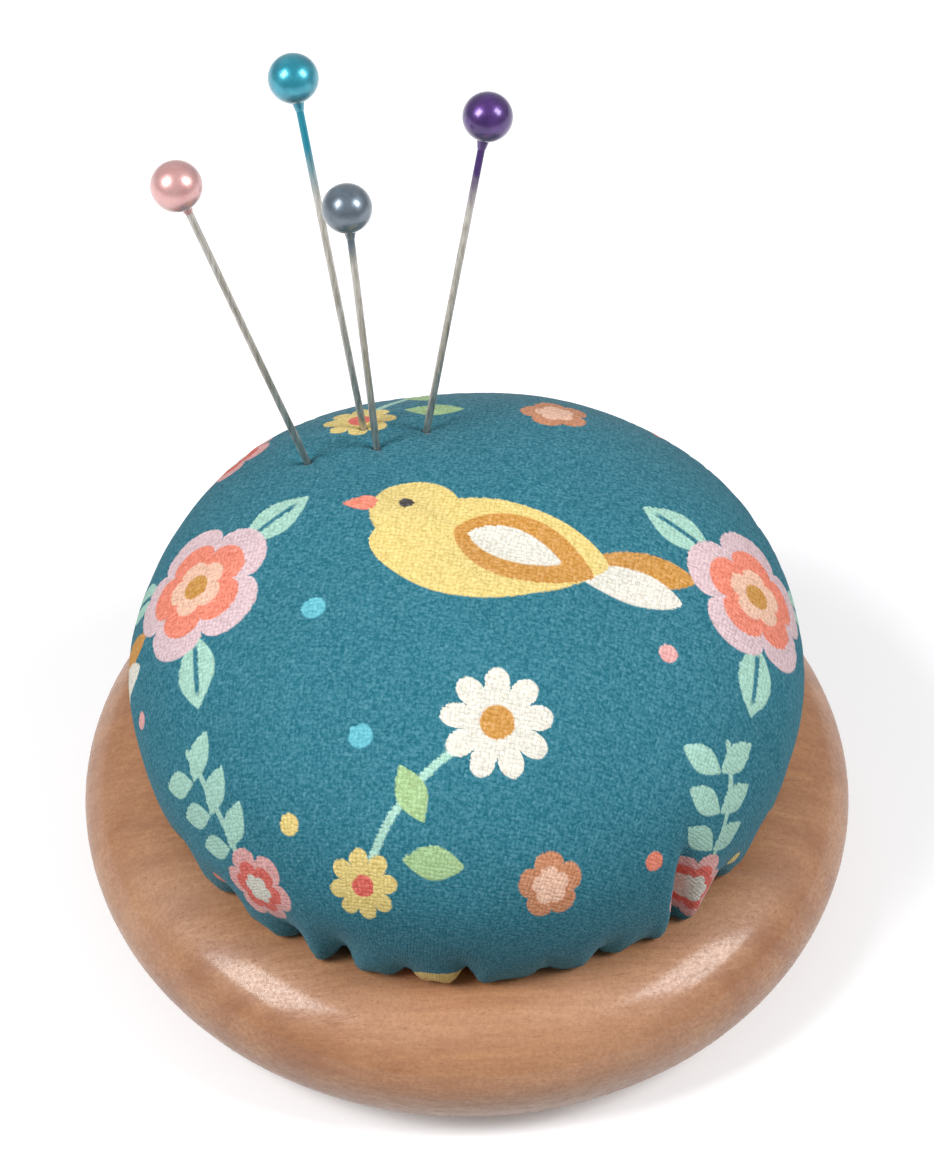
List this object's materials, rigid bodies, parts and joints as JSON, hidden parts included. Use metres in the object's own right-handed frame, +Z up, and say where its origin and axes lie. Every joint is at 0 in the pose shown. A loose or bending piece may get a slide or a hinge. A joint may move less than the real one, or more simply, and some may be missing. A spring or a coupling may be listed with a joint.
{
  "type": "pin cushion",
  "caption": "Round pin cushion: a stuffed printed-cotton dome glued in a turned wooden dish, with pearl-headed pins standing in it.",
  "frame": {"origin": "centre of the wooden dish's flat foot, on the surface it stands on", "axes": "+Z up along the dish's turning axis; +Y away from the viewer, towards the side where the pins stand; +X to the viewer's right"},
  "size_m": [0.066, 0.066, 0.0715],
  "materials": {
    "varnished_wood": "light close-grained wood under satin varnish",
    "glue": "dried hot-melt glue",
    "board": "stiff grey-brown board",
    "thread": "doubled polyester sewing thread",
    "printed_cotton": "plain-weave cotton printed with a bird and flowers",
    "fibre": "loose polyester fibre filling",
    "pin_steel": "polished nickel-plated steel wire",
    "pink_pearl": "pearlescent lacquer",
    "teal_pearl": "pearlescent lacquer",
    "grey_pearl": "pearlescent lacquer",
    "violet_pearl": "pearlescent lacquer"
  },
  "bodies": {
    "cushion": {"wood_base": "varnished_wood", "glue": "glue", "backing_disc": "board", "gathering_thread": "thread", "cover": "printed_cotton", "stuffing": "fibre"},
    "pink_pin": {"pink_shank": "pin_steel", "pink_bead": "pink_pearl"},
    "teal_pin": {"teal_shank": "pin_steel", "teal_bead": "teal_pearl"},
    "grey_pin": {"grey_shank": "pin_steel", "grey_bead": "grey_pearl"},
    "violet_pin": {"violet_shank": "pin_steel", "violet_bead": "violet_pearl"}
  },
  "joints": [
    {"name": "pink_pin_slide", "type": "slide", "parent": "cushion", "child": "pink_pin", "axis": [-0.2568, -0.0854, 0.9627], "range_m": [-0.0224, 0.0107]},
    {"name": "teal_pin_slide", "type": "slide", "parent": "cushion", "child": "teal_pin", "axis": [-0.141, 0.141, 0.9799], "range_m": [-0.0216, 0.0107]},
    {"name": "grey_pin_slide", "type": "slide", "parent": "cushion", "child": "grey_pin", "axis": [-0.0788, 0.0952, 0.9923], "range_m": [-0.0127, 0.0207]},
    {"name": "violet_pin_slide", "type": "slide", "parent": "cushion", "child": "violet_pin", "axis": [0.1624, 0.1557, 0.9744], "range_m": [-0.019, 0.0147]}
  ]
}
